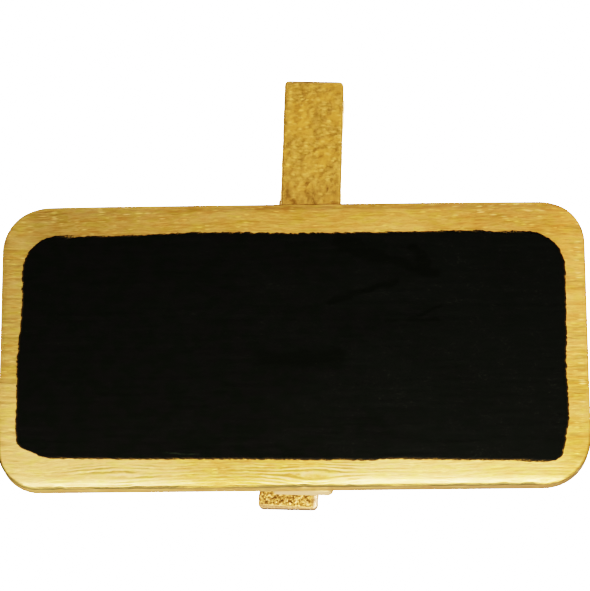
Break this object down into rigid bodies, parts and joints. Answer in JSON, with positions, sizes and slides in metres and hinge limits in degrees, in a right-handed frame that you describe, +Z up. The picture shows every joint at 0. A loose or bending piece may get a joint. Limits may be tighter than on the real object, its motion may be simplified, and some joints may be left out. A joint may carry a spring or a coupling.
{
  "type": "chalkboard sign clip",
  "caption": "Small gold-edged chalkboard sign on a wooden spring peg that stands upright behind it and clips to a card, cord or rim.",
  "frame": {"origin": "middle of the board's underside, the face that stands on the table (mount base)", "axes": "+Z up, +X along the board's width to the right as the writing is read, and the writing panel faces -Y"},
  "size_m": [0.098, 0.023, 0.0724],
  "materials": {
    "gold_board": "metallic gold paint over open wood grain",
    "blackboard_paint": "flat black blackboard paint",
    "glue": "dried clear glue",
    "gold_peg": "metallic gold paint, pitted and lumpy",
    "spring_wire": "bright zinc-plated spring wire"
  },
  "bodies": {
    "sign": {"board": "gold_board", "chalk_panel": "blackboard_paint", "glue_layer": "glue", "front_leg": "gold_peg", "torsion_spring": "spring_wire"},
    "squeeze_leg": {"back_leg": "gold_peg"}
  },
  "joints": [
    {"name": "jaw_hinge", "type": "hinge", "parent": "sign", "child": "squeeze_leg", "pos_m": [0.00263, 0.00914, 0.04112], "axis": [-0.9994, 0, 0.0349], "range_deg": [0, 15], "stiffness_Nm_per_rad": 0.008, "springref_deg": -8.59, "deforming": ["torsion_spring"]}
  ]
}
